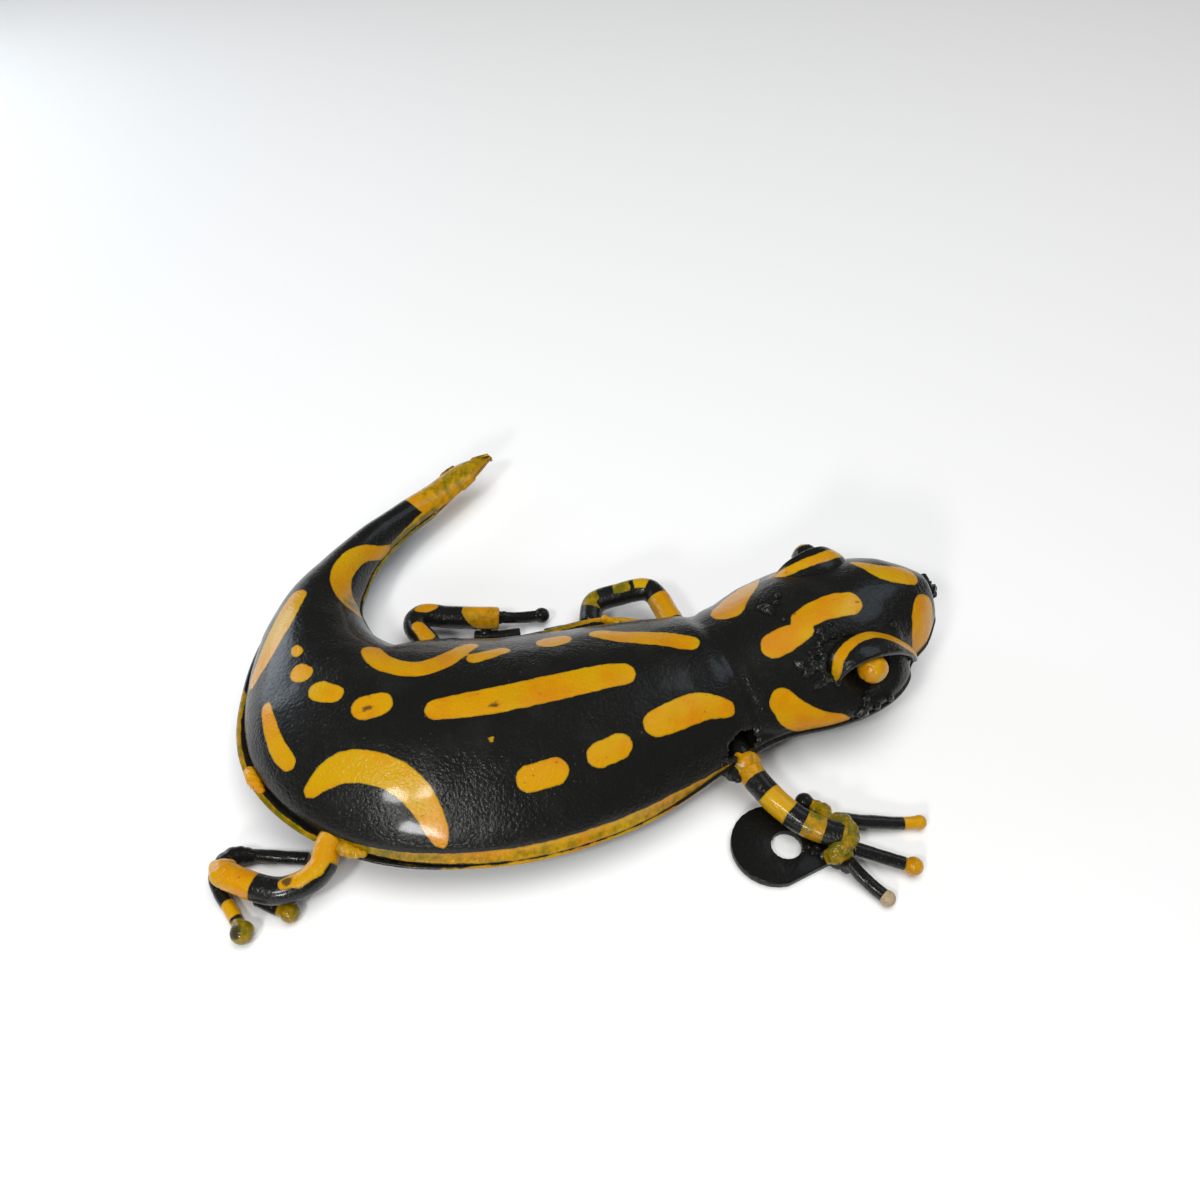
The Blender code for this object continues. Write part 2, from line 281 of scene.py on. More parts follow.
enamelLook = {
    "yellow": (0.50, 0.238, 0.0004), "orange": (0.48, 0.172, 0.0004), "lemon": (0.45, 0.285, 0.0008),
    "olive": (0.125, 0.105, 0.0015), "black": (0.0068, 0.0068, 0.0058), "dusty": (0.018, 0.0172, 0.0148),
    "rust": (0.075, 0.034, 0.016), "soot": (0.013, 0.009, 0.005), "bare": (0.40, 0.30, 0.18),
    "wobble": 1.3, "fray": 0.35,    # how unsteady the brush was and how frayed its hairs, mm
    "paintRise": 0.10,    # thickness of the yellow over the black, mm
    "orangeShare": 0.8, "lemonShare": 0.65, "rimShade": 0.6, "sootShare": 0.85, "rustShare": 0.6,
    # noise: size in millimetres, detail, roughness, stretch
    "clouds": {"wobble": (5, 3), "fray": (1.2, 2), "orange": (16, 3, 0.6), "lemon": (28, 2),
               "streaks": (1.6, 3, 0.6, (1, 0.22, 1)), "blots": (4.5, 3, 0.55), "dust": (22, 4, 0.6),
               "smudge": (3, 4, 0.7), "specks": (2.6, 1), "grain": (0.9, 3, 0.7), "peel": (1.5, 2),
               "ripple": (6, 2), "pores": (0.8, 1)},
    # what makes the surface rougher, and what raises it, mm
    "rough": {"all": 0.27, "ripple": 0.16, "smudge": 0.25, "specks": 0.3, "bare": 0.3, "yellow": 0.03},
    "rise": {"peel": 0.40, "pores": 0.13, "ripple": 0.24, "specks": 0.1, "streaks": 0.06, "grain": 0.15},
    "bumpStrength": 0.9,
}


def mixEnamel(name, coat, gloss, dusty):
    look = enamelLook
    enamel = Finish(name, coat=coat)
    enamel.shader.inputs["Specular IOR Level"].default_value = gloss
    paint, thin, grime, bare = (enamel.field(name) for name in ("paint", "thin", "grime", "bare"))
    cloud = {name: enamel.cloud(*grain) for name, grain in look["clouds"].items()}
    rough, rise = look["rough"], look["rise"]
    edge = paint + (cloud["wobble"] - 0.5) * look["wobble"] + (cloud["fray"] - 0.5) * look["fray"]
    mask = edge.within(-0.12, 0.12)
    # yellow: warm and lemon clouds, thin towards the stroke's edge and where it was brushed out, and olive
    # where the same field lays painted shade on it
    warm = cloud["orange"].within(0.42, 0.62) * look["orangeShare"]
    pale = cloud["lemon"].within(0.5, 0.66) * look["lemonShare"]
    yellow = enamel.blend(pale, enamel.blend(warm, look["yellow"], look["orange"]), look["lemon"])
    blots = cloud["blots"] + cloud["streaks"] * 0.5
    oliveShare = (thin * 0.8 + (blots - 0.75) * 1.5 * thin.within(0.02, 0.3)).within(0.15, 0.85)
    rimShade = (1 - edge.within(0.0, 0.8)) * look["rimShade"]
    yellow = enamel.blend(enamel.maths("MAXIMUM", oliveShare, rimShade), yellow, look["olive"])
    black = enamel.blend(cloud["dust"].within(0.5, 0.75) * dusty, look["black"], look["dusty"])
    colour = enamel.blend(mask, black, yellow)
    # grime sits in soft patches, rust in small specks
    smudge = (grime + (cloud["smudge"] - 0.5) * 1.2 * grime.within(0.01, 0.2)).within(0.45, 0.85)
    colour = enamel.blend(smudge * look["sootShare"], colour, look["soot"])
    specks = cloud["specks"].within(0.76, 0.79)
    colour = enamel.blend(specks * look["rustShare"], colour, look["rust"])
    steel = enamel.blend(cloud["grain"].within(0.4, 1.0), look["bare"], look["rust"])
    colour = enamel.blend(bare.within(0.4, 0.6), colour, steel)
    enamel.feed(Base_Color=colour,
                Roughness=rough["all"] + (cloud["ripple"] - 0.5) * rough["ripple"] + smudge * rough["smudge"]
                + specks * rough["specks"] + bare * rough["bare"] - mask * rough["yellow"])
    enamel.bump(mask * look["paintRise"] + cloud["peel"] * rise["peel"] + cloud["pores"] * rise["pores"]
                + cloud["ripple"] * rise["ripple"] + specks * rise["specks"]
                + cloud["streaks"] * mask * rise["streaks"] + cloud["grain"] * bare * rise["grain"],
                look["bumpStrength"])
    return enamel.material


enamel = mixEnamel("brushedEnamel", coat=0.25, gloss=0.22, dusty=0.5)
tabEnamel = mixEnamel("tabEnamel", coat=0.12, gloss=0.1, dusty=0.0)
print("finishes mixed")


# leg rods: each runs from inside the body to its foot, and toes as thinner rods

legRods = {
    "legFrontRight": {
        "node": "leg_front_right",
        "line": [(59, -46, 17.6), (63, -60, 17.6), (74, -79, 14.5), (90, -94, 11.5), (109, -101.5, 10.4)],
    },
    "legRearRight": {
        "node": "leg_rear_right",
        "line": [(-112, -94, 17.6), (-117, -109, 17.6), (-119, -119, 15.5), (-127, -126, 13.5),
                 (-140, -128, 12.6), (-160, -121, 12.4)],
    },
    "legRearLeft": {
        "node": "leg_rear_left",
        "line": [(-80, -12, 17.6), (-86, 3, 17.6), (-95, 16, 16), (-92, 25.5, 14), (-78, 26, 12),
                 (-53, 27, 10)],
    },
    "legFrontLeft": {
        "node": "leg_front_left",
        "line": [(42, 4, 17.6), (35.5, 22, 17.6), (26, 39.5, 18), (10, 38.5, 16), (-3, 35, 12.5),
                 (-5, 23.5, 9.3)],
    },
}
rodStock = {
    "leg": 6.0, "toe": 3.0,    # radii
    "legSides": 32, "toeSides": 20, "cutterSides": 20,    # faces around
    "endWidth": 0.86, "endLength": 0.14, "ballRings": 12,    # softened ends, as shares of the radius
    "wander": 0.22, "wanderSizes": (6, 1.8), "smallWander": 0.4,    # how far out of round
}
toeRods = {
    "toeFrontRight1": {"node": "toe_front_right_1", "ball": 3.4,
                       "line": [(108, -91.2, 8.4), (122, -91, 5.6), (136, -90.5, 3.4), (145, -90, 3.4)]},
    "toeFrontRight2": {"node": "toe_front_right_2", "ball": 4.2,
                       "line": [(111.5, -105.5, 8.4), (124.5, -108.8, 6), (138, -112.2, 4.2)]},
    "toeFrontRight3": {"node": "toe_front_right_3", "slot": "bare_steel", "ball": 3.5,
                       "line": [(108.6, -111.8, 8), (114, -117, 4.6), (119.5, -122.3, 3), (124, -126.8, 3)]},
    "toeFrontRight4": {"node": "toe_front_right_4", "ball": 4.2,
                       "line": [(103.5, -88, 8.8), (98, -85.2, 8.6), (93, -82.5, 8.5)]},
    "toeRearRight1": {"node": "toe_rear_right_1", "ball": 5,
                      "line": [(-129, -108, 3), (-145, -107, 3), (-159, -106.5, 3), (-166.5, -109, 3),
                               (-168.5, -116, 3), (-164.5, -124, 3), (-157, -133, 3), (-150, -143, 5)]},
    "toeRearRight2": {"node": "toe_rear_right_2", "ball": 4.2,
                      "line": [(-148, -127, 3), (-139, -131, 3), (-132, -134, 4.2)]},
    "toeRearLeft1": {"node": "toe_rear_left_1", "ball": 4.2,
                     "line": [(-51, 29, 8.4), (-42, 30.5, 6.6), (-31, 32.5, 6.2)]},
    "toeRearLeft2": {"node": "toe_rear_left_2",
                     "line": [(-66, 20.8, 3), (-55, 20.8, 3), (-42, 22.5, 3)]},
    "toeFrontLeft1": {"node": "toe_front_left_1", "line": [(-13, 25.5, 3), (-20, 24.5, 3), (-29, 22, 3)]},
    "toeFrontLeft2": {"node": "toe_front_left_2", "line": [(-10, 17.5, 4.5), (-16, 13, 3), (-23, 7, 3)]},
    "toeFrontLeft3": {"node": "toe_front_left_3", "line": [(-3, 18, 4.5), (-4, 10, 3), (-7, 2, 3)]},
}


def rodPath(line, radius, spacing=1.2):
    # evenly spaced places and directions along a smooth bent rod, none below the floor
    fine = [Vector(place) for place in smoothRows(line, 40)]
    for place in fine:
        place.z = max(place.z, radius)
    run = [0.0]
    for a, b in zip(fine, fine[1:]):
        run.append(run[-1] + (b - a).length)
    steps = max(2, round(run[-1] / spacing))
    spots = [Vector([np.interp(run[-1] * k / steps, run, [p[axis] for p in fine]) for axis in range(3)])
             for k in range(steps + 1)]
    aims = [(spots[min(k + 1, steps)] - spots[max(k - 1, 0)]).normalized() for k in range(steps + 1)]
    if spots[-1].z < rodStock["leg"]:
        aims[-1] = Vector((aims[-1].x, aims[-1].y, 0)).normalized()
    return spots, aims


def sweepRod(line, radius, sides, ball=0.0, seed=0.0, grow=0.0):
    # a grid rolled into a tube along the rod, a little out of round, closed at its ends
    spots, aims = rodPath(line, radius)
    width, length = rodStock["endWidth"], rodStock["endLength"]
    rings = [(spots[0], aims[0], radius * width), (spots[0] + aims[0] * length * radius, aims[0], radius)]
    rings += [(spot, aim, radius) for spot, aim in zip(spots[1:-1], aims[1:-1])]
    tip, aim = spots[-1], aims[-1]
    if ball:
        rings = [ring for ring in rings if (ring[0] - tip).length > 0.8 * ball]
        count = rodStock["ballRings"]
        for k in range(count):
            turn = pi * (0.2 + 0.79 * k / (count - 1))
            size = ball * sin(turn)
            rings.append((tip - aim * ball * cos(turn), aim, max(size, radius) if turn < 1.2 else size))
    else:
        rings += [(tip - aim * length * radius, aim, radius), (tip, aim, width * radius)]
    bm = bmesh.new()
    bmesh.ops.create_grid(bm, x_segments=sides, y_segments=len(rings) - 1, size=1)
    for vert in bm.verts:
        spot, aim, size = rings[round((vert.co.y + 1) / 2 * (len(rings) - 1))]
        left = upward.cross(aim).normalized()
        turn = pi * (vert.co.x + 1)
        out = left * sin(turn) + aim.cross(left) * cos(turn)
        if seed:
            wide, small = rodStock["wanderSizes"]
            size += rodStock["wander"] * noise.noise((spot + out * size) / wide + Vector((seed, 0, 0)))
            size += rodStock["smallWander"] * rodStock["wander"] * noise.noise((spot + out * size) / small)
        vert.co = spot + out * (size + grow)
    bmesh.ops.remove_doubles(bm, verts=bm.verts, dist=0.01)
    bmesh.ops.holes_fill(bm, edges=[edge for edge in bm.edges if edge.is_boundary], sides=sides + 1)
    bmesh.ops.recalc_face_normals(bm, faces=bm.faces)
    return bm


def joinedRods(lines, radius, grow):
    # rods a little thicker, as one cutter
    whole = bpy.data.meshes.new("legSpace")
    bm = bmesh.new()
    for line in lines:
        one = sweepRod(line, radius, rodStock["cutterSides"], grow=grow)
        one.to_mesh(whole)
        one.free()
        bm.from_mesh(whole)
    bpy.data.meshes.remove(whole)
    return bm


# the dome: one hammered sheet from tail tip to nose, its lower edge turned out as a lip

domeSheet = {
    "columns": 104, "rows": 300,    # faces across and along
    "gauge": 1.5,    # sheet thickness
    "lipShare": 0.10,    # of each half's columns, for the lip
    "lipLeast": 0.25, "lipTurn": 0.7,    # its reach away from the places below, and how soon it turns out
    "foldRise": 1.8, "skirt": 3.0,    # the fold above and the edge below the shell's edge height
    "dent": 0.55, "dentSizes": (21, 8), "smallDents": 0.35,    # depth, sizes and the small ones' share
    "dentWidth": 25,    # the dents are full from this half width on
    "lips": [(10.4, -1, 3.2, 1.55), (11.0, 1, 1.6, 1.6)],    # station, side, reach, spread
    "valleys": [(13.42, 2.1, 0.2)],    # station, depth, spread
    "sockets": [(1, 4.0, 11.0), (-1, 6.5, 12.5)],    # side, depth, spread of each eye's hollow
    "head": (14.5, 18),    # the stations that the hollows reach
}


def lipReach(t, side):
    return domeSheet["lipLeast"] + sum(reach * exp(-(abs(t - at) / spread) ** 4)
                                       for at, where, reach, spread in domeSheet["lips"] if where == side)


def snoutClose(t):
    # the last rows draw in, so that the snout is shut
    into = max(t - bodyForm["snoutStart"], 0) / bodyForm["snoutLength"]
    return sqrt(max(bodyForm["snoutLeast"], 1 - into ** 2))


def domeSpot(t, x):
    # x runs from -1, the right edge, to 1
    form = domeSheet
    middle, along, left, up, half, height = section(t)
    half, height = half * snoutClose(t), height * snoutClose(t)
    side = 1 if x > 0 else -1
    share = 1 - form["lipShare"]
    opened = ease(t, bodyForm["leafEnd"] - 0.5, bodyForm["leafEnd"] + 0.6) * snoutClose(t)
    reach = lipReach(t, side) * opened
    fold = min(form["foldRise"], 0.2 * height) * opened
    skirt = min(form["skirt"], 0.6 * height) * opened
    if abs(x) <= share:
        turn = x / share * pi / 2
        rise = cos(turn) ** bodyForm["arch"] if cos(turn) > 1e-6 else 0
        out, lift = (half - reach) * sin(turn), fold + (height - fold) * rise
    else:
        f = (abs(x) - share) / form["lipShare"]
        turn = side * pi / 2
        out = side * (half - reach * (1 - f) ** form["lipTurn"])
        lift = fold - (fold + skirt) * f
    spot = middle + left * out + up * lift
    face = left * sin(turn) + up * cos(turn)
    wide, small = form["dentSizes"]
    knock = form["dent"] * (noise.noise(spot / wide) + form["smallDents"] * noise.noise(spot / small))
    knock *= min(1, half / form["dentWidth"])
    for at, depth, spread in form["valleys"]:
        bent = at + 0.25 * (x + 0.1) ** 2
        knock -= depth * exp(-((t - bent) / spread) ** 2)
    knock *= ease(1 - abs(x), 0.0, 0.25)
    if form["head"][0] < t < form["head"][1]:
        for side, depth, spread in form["sockets"]:
            away = (spot - besideSpine(side, hoodForm["eyes"][side])).length
            knock -= depth * exp(-(away / spread) ** 4)
    return spot + face * knock


# the pan under it, with a rim that stands away from the dome at the right hip and the left shoulder

panSheet = {
    "columns": 72, "rows": 240, "gauge": 1.4,
    "gap": 0.5, "rimDrop": 1.5, "depth": 11.0,
    "jawDepth": 5.5, "jawStart": 12.5,    # shallower from this station on
    "flares": [(7.9, -1, 4.0, 1.2), (12.0, 1, 4.8, 0.85)],    # station, side, reach, spread
    "flareLift": 0.35,    # of the left flare's reach
    "lowRim": (10.6, 2.6, 1.9),    # the right rim: station, drop, spread
    "profile": [(0.965, 0.75), (0.88, 0.93), (0.66, 1), (0.33, 1), (0, 1)],    # shares of width and depth
    "leafShare": 0.55,    # of the dome's height, under the leaf
    "buckle": 0.5, "buckleSize": 17,
}


def edgeFlare(t, side):
    return sum(reach * exp(-((t - at) / spread) ** 2)
               for at, where, reach, spread in panSheet["flares"] if where == side)


def panSpot(t, x):
    form = panSheet
    middle, along, left, up, half, height = section(t)
    half, height = half * snoutClose(t), height * snoutClose(t)
    side = 1 if x > 0 else -1
    flat = min(max(t - form["jawStart"], 0), 1)
    depth = form["depth"] + (form["jawDepth"] - form["depth"]) * flat
    depth *= min(1, (half + 9) / (40 - 22 * flat)) * snoutClose(t)
    wall = min(3.5, (0.4 + 0.25 * flat) * depth)
    edge = half + form["gap"]
    flare = edgeFlare(t, side)
    at, low, spread = form["lowRim"]
    lowered = low * exp(-((t - at) / spread) ** 4) if side < 0 else 0
    drop = (form["rimDrop"] + lowered - (form["flareLift"] * flare if side > 0 else 0)) * snoutClose(t)
    rows = [(edge + flare + 0.5, drop - 0.2), (edge + flare, drop + 0.6), (edge, max(wall, drop + 1.5))]
    rows += [(share * edge, part * depth) for share, part in form["profile"]]
    out, down = between(rows, (1 - abs(x)) * (len(rows) - 1))
    opened = ease(t, bodyForm["leafEnd"] - 0.2, bodyForm["leafEnd"] + 0.6)
    turn = abs(x) * pi / 2
    leafOut, leafDown = half * sin(turn), form["leafShare"] * height * cos(turn)
    out, down = leafOut + (out - leafOut) * opened, leafDown + (down - leafDown) * opened
    spot = middle + left * side * out - up * down
    spot.z += form["buckle"] * noise.noise(spot / form["buckleSize"]) * ease(1 - abs(x), 0.05, 0.3)
    return spot


# hoods over the eyes, and the eyes

hoodForm = {
    "station": 16.05, "reach": 18, "back": -80, "open": 15, "gauge": 1.3,
    "lip": 2.1, "lipTurn": 200,    # the rolled edge: radius and how far it is rolled, degrees
    "columns": 90, "rows": 64, "lipShare": 0.22,
    # left and right lips as rear foot, top and front foot: ahead of, aside from and above the spine
    "lips": {1: ((-17, 32, 12), (9.5, 33, 26.5), (24, 30, 6)),
             -1: ((-23.5, 32.5, 15.5), (-3, 35, 28), (25, 33.5, 2))},
    "eyes": {1: (11, 40, 12.5), -1: (-4.8, 35.9, 17.2)},
    "wave": 0.45, "waveSize": 9,
    "eyeRadius": 7.0, "lumps": 0.45, "lumpSizes": (3.5, 1), "smallLumps": 0.4,
    # the brushed stripe: share of the arch, share of the way out, radius
    "stripes": {
        1: [(0.02, 0.80, 1.4), (0.12, 0.78, 2.0), (0.29, 0.65, 2.7), (0.45, 0.60, 3.0), (0.6, 0.62, 3.1),
            (0.72, 0.68, 2.8), (0.8, 0.75, 2.2)],
        -1: [(0.05, 0.76, 1.6), (0.14, 0.74, 2.6), (0.3, 0.6, 2.9), (0.45, 0.51, 3.0), (0.58, 0.51, 3.0),
             (0.68, 0.61, 2.9), (0.78, 0.74, 2.6), (0.92, 0.8, 1.9)],
    },
    "chip": (0.965, 0.74, 1.5),    # where the right hood's paint has come off, as for the stripe
}


def besideSpine(side, place):
    spine, along, left, up, half, height = section(hoodForm["station"])
    ahead, aside, above = place
    return spine + along * ahead + left * side * aside + up * above


def hoodSpot(side, u, v):
    # u runs over the arch from rear to front, v from the head out to the rolled lip
    form = hoodForm
    rear, top, front = (besideSpine(side, place) for place in form["lips"][side])
    out = section(form["station"])[2] * side
    middle = (rear + front) / 2
    share = 1 - form["lipShare"]
    turn = radians(form["back"] + (form["open"] - form["back"]) * min(1, v / share))
    size = cos(turn) / cos(radians(form["open"]))
    arch = (rear - middle) * cos(pi * u) + (top - middle) * sin(pi * u)
    spot = middle + arch * size + out * form["reach"] * (sin(turn) - sin(radians(form["open"])))
    radial = arch.normalized()
    if v > share:
        curl = radians(form["lipTurn"]) * (v - share) / form["lipShare"]
        spot += form["lip"] * (radial * (cos(curl) - 1) + out * sin(curl))
    return spot + radial * form["wave"] * noise.noise(spot / form["waveSize"])


def hoodStripe(side, steps=5):
    rows = smoothRows(hoodForm["stripes"][side], steps)
    return [(hoodSpot(side, u, v), radius) for u, v, radius in rows]


def castEye(side):
    form = hoodForm
    bm = bmesh.new()
    bmesh.ops.create_icosphere(bm, subdivisions=5, radius=form["eyeRadius"])
    middle = besideSpine(side, form["eyes"][side])
    wide, small = form["lumpSizes"]
    for vert in bm.verts:
        spot = middle + vert.co
        lump = noise.noise(spot / wide) + form["smallLumps"] * noise.noise(spot / small)
        vert.co = spot + vert.co.normalized() * form["lumps"] * lump
    return bm


# what was brushed on, in the order it was painted; marks on the dome are (station, across, radius)

domeMarks = {
    "spineBar": [(9.48, -0.05, 5.6), (9.93, -0.02, 6.9), (10.58, 0.005, 7.2), (11.28, 0.01, 7.1),
                 (11.7, -0.015, 6.0)],
    "rowFront": [(11.88, -0.345, 6.2), (12.25, -0.345, 7.0), (12.68, -0.36, 6.4), (13.05, -0.44, 4.0)],
    "rowMiddle": [(11.11, -0.39, 5.8), (11.34, -0.38, 5.8)],
    "rowBack": [(10.37, -0.42, 6.0), (10.62, -0.41, 6.0)],
    "hipArch": [(8.48, -0.63, 3.2), (8.56, -0.515, 5.4), (8.7, -0.42, 6.8), (8.9, -0.38, 7.2),
                (9.15, -0.385, 7.0), (9.35, -0.45, 6.7), (9.47, -0.54, 6.2), (9.55, -0.66, 5.2),
                (9.58, -0.74, 3.6)],
    "flankShort": [(7.69, -0.475, 3.4), (7.88, -0.51, 4.4), (8.05, -0.55, 5.0), (8.19, -0.56, 4.6)],
    "flankLong": [(6.14, -0.2, 6.0), (6.6, -0.29, 7.4), (6.95, -0.44, 7.2), (7.14, -0.63, 5.4)],
    "dotOne": [(7.25, -0.135, 2.7), (7.31, -0.13, 3.0)],
    "dotTwo": [(7.63, -0.165, 5.0), (7.68, -0.15, 4.8)],
    "dotThree": [(8.04, -0.14, 5.4), (8.22, -0.105, 4.6)],
    "dotFour": [(8.66, -0.105, 6.2), (8.8, -0.065, 6.0)],
    "bananaFar": [(7.98, 0.27, 5.0), (8.43, 0.195, 5.6), (8.88, 0.18, 5.4), (9.22, 0.215, 5.4),
                  (9.5, 0.31, 5.2), (9.76, 0.45, 4.2)],
    "dashOne": [(9.88, 0.3, 4.4), (10.3, 0.355, 4.0)],
    "dashTwo": [(10.98, 0.39, 6.2), (11.15, 0.395, 6.0)],
    "dashThree": [(11.72, 0.385, 4.4), (12.03, 0.285, 5.6), (12.55, 0.19, 5.8), (12.95, 0.09, 4.6)],
    "neckFar": [(15.1, 0.62, 3.0), (14.78, 0.53, 7.0), (14.4, 0.44, 8.6), (14.08, 0.335, 8.6)],
    "crownBack": [(14.35, -0.165, 6.3), (14.58, -0.15, 6.5), (14.88, -0.14, 5.4), (15.08, -0.15, 3.6)],
    "crownFront": [(15.14, -0.065, 5.6), (15.53, -0.05, 6.3), (15.88, -0.06, 6.8), (16.13, -0.085, 6.6)],
    "cheek": [(14.08, -0.56, 6.4), (14.23, -0.7, 7.4), (14.48, -0.81, 6.8), (14.68, -0.86, 5.4),
              (15.05, -0.91, 3.6), (15.2, -0.96, 2.2)],
    "snoutNear": [(18.25, -0.50, 8.8), (18.1, -0.59, 9.6), (17.92, -0.7, 8.8), (17.78, -0.8, 6.8),
                  (17.65, -0.94, 4.4)],
    "snoutFar": [(17.05, 0.3, 1.8), (17.2, 0.19, 3.8), (17.42, 0.075, 5.6), (17.73, 0.03, 6.6),
                 (18.15, 0.01, 6.6)],
    "crescent": [(3.85, 0.93, 3.4), (4.45, 0.43, 4.6), (4.88, 0.29, 5.6), (5.23, 0.285, 5.8),
                 (5.58, 0.385, 6.3), (5.88, 0.53, 6.4), (6.0, 0.7, 5.2)],
    "tailTip": [(0, 0, 10), (1.2, 0, 14), (2.2, 0, 15)],
    "tailWedge": [(2.2, 0.8, 7), (2.9, 1.05, 3.8), (3.7, 1.1, 2.0)],
    "speck": [(10.03, -0.21, 1.1), (10.08, -0.21, 1.3)],
    "hoodTail": [(15.28, 0.5, 1.0), (15.5, 0.56, 1.6), (15.75, 0.62, 1.9)],
}
domeBlack = {"tailBand": [(3.15, -0.55, 9.5), (3.45, 0.1, 7.4), (4.2, -0.1, 14.0)]}


def edgePlace(t, side, out, down):
    middle, along, left, up, half, height = section(t)
    return middle + left * side * (half + out) - up * down


def rimChain(start, end, side, out, down, radius, steps=24):
    # a stroke along the shells' edge from one station to another
    rows = [(start + (end - start) * k / steps, sin(pi * k / steps) ** 0.4) for k in range(steps + 1)]
    return [(edgePlace(t, side, out, down), radius * max(fade, 0.35)) for t, fade in rows]


def flareChain(start, end, side, out, down, radius, steps=24):
    # the same along the pan's turned-out edge
    rows = [start + (end - start) * k / steps for k in range(steps + 1)]
    return [(edgePlace(t, side, out + edgeFlare(t, side), down), radius) for t in rows]


# chains with how softly each fades, mm
backThinAndShade = [
    (rimChain(8.6, 9.75, -1, -1.0, 0.0, 3.5), 8), (rimChain(11.9, 12.9, -1, -0.5, 1.6, 1.4), 2),
    (bodyChain([(0, 0, 3), (1.2, -0.9, 3)]), 6), (bodyChain([(2.4, 0.9, 3), (3.7, 1.05, 3)]), 2),
    # these two chains turn the crescent's far end and the whole tail tip olive: partly thin paint, partly
    # painted shade where they lie farther from the light
    (bodyChain([(5.9, 0.6, 4), (6.0, 0.8, 4)]), 8), (bodyChain([(0, 0, 8), (1.8, 0, 8)]), 40),
    (rimChain(9.6, 12.9, -1, -0.8, 1.2, 1.0), 8),
]
backGrime = [
    (bodyChain([(10.1, -0.04, 2.0), (10.14, -0.04, 2.0)]), 3),
    (bodyChain([(8.66, -0.11, 2.0), (8.7, -0.1, 2.0)]), 3),
    (bodyChain([(15.05, 0, 1.2), (15.08, 0, 1.2)]), 3), (bodyChain([(0, 0, 1.5), (0.3, 0, 1)]), 2),
    (bodyChain([(13.12, -0.78, 8.2), (13.22, -0.78, 8.2)]), 1),
]
lipCracks = [9.85, 10.08, 11.3]


def bodyStrokes():
    strokes = [("yellow", bodyChain(domeMarks["tailTip"]))]
    strokes += [("black", bodyChain(chain)) for chain in domeBlack.values()]
    strokes += [("yellow", bodyChain(chain)) for name, chain in domeMarks.items() if name != "tailTip"]
    strokes += [("yellow", rimChain(8.72, 13.05, -1, -1.2, 0.1, 3.2)),
                ("yellow", rimChain(11.2, 12.6, 1, -0.5, 0.5, 2.0))]
    strokes += [("black", [(edgePlace(t, -1, -2.6, -2.0), 0.3), (edgePlace(t + 0.02, -1, 0.2, 0.4), 0.45),
                           (edgePlace(t, -1, 0.8, 3.0), 0.4)]) for t in lipCracks]
    return strokes


def panStrokes():
    return [("yellow", [(shellPoint(t, 0), 12) for t in (0, 1.2, 2.4)]),
            ("yellow", flareChain(7.05, 8.85, -1, 1.6, 2.0, 2.9)),
            ("yellow", rimChain(8.3, 12.95, -1, 0.8, 4.6, 1.5)),
            ("yellow", rimChain(2.0, 6.3, 1, 0.8, 2.0, 1.6)),
            ("yellow", flareChain(11.15, 12.8, 1, 1.0, 0.5, 2.6))]


panThin = [(flareChain(7.0, 8.85, -1, 1.6, 2.0, 5), 9), (rimChain(2.0, 6.3, 1, 0.8, 2.0, 3), 3),
           (flareChain(11.1, 11.7, 1, 1.0, 0.5, 4), 9)]


def paintOn(piece, strokes, thin=(), grime=()):
    spots = places(piece.data)
    setField(piece.data, "paint", brushed(spots, strokes))
    for name, chains in (("thin", thin), ("grime", grime)):
        field = np.zeros(len(spots))
        for chain, soft in chains:
            field = np.maximum(field, softSpot(spots, chain, soft))
        setField(piece.data, name, field)


def addSheet(piece, gauge, cutters=()):
    sheet = piece.modifiers.new("gauge", "SOLIDIFY")
    sheet.thickness = gauge * mm
    sheet.offset = -1
    for cutter in cutters:
        hole = piece.modifiers.new("hole", "BOOLEAN")
        hole.object = cutter
        hole.operation = "DIFFERENCE"
        hole.solver = "MANIFOLD"
    settle(piece)


def addCutter(name, bm):
    cutter = makePiece(name, bm, enamel)
    cutter.hide_render = True
    return cutter


torchHole = {
    "at": (13.17, -0.78), "size": (10.2, 8.5, 6.2),    # station and across; along, across and up, mm
    "ragged": [(0.2, 2.6), (0.15, 6.5)],    # how far and how finely
}


def torchCut():
    # the ragged hole burnt over the right front leg
    bm = bmesh.new()
    bmesh.ops.create_icosphere(bm, subdivisions=5, radius=1)
    t, across = torchHole["at"]
    middle, along, left, up, half, height = section(t)
    wide, deep, tall = torchHole["size"]
    heart = shellPoint(t, across)
    for vert in bm.verts:
        x, y, z = vert.co
        ragged = sum((far * noise.noise(vert.co * fine) for far, fine in torchHole["ragged"]), 1)
        vert.co = heart + (along * x * wide + left * y * deep + up * z * tall) * ragged
    return bm


legSpace = addCutter("legSpace", joinedRods([rod["line"] for rod in legRods.values()], rodStock["leg"], 0.3))
torchSpace = addCutter("torchSpace", torchCut())

dome = shapeGrid(domeSheet, lambda x, y: domeSpot(stationAt(y), x))
back = makePiece("backSheet", dome, enamel)
addSheet(back, domeSheet["gauge"], (legSpace, torchSpace))
paintOn(back, bodyStrokes(), backThinAndShade, backGrime)
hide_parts("tail_tip", "tail_end", "tail_root", "trunk", "neck", "head")
pan = shapeGrid(panSheet, lambda x, y: panSpot(stationAt(y), x), facing=-1)
belly = makePiece("bellyPan", pan, enamel)
addSheet(belly, panSheet["gauge"], (legSpace,))
paintOn(belly, panStrokes(), panThin)
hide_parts("tail_pan", "belly_pan", "jaw_pan")
for cutter in (legSpace, torchSpace):
    bpy.data.objects.remove(cutter)
print("sheets hammered:", len(back.data.polygons), "and", len(belly.data.polygons), "faces")

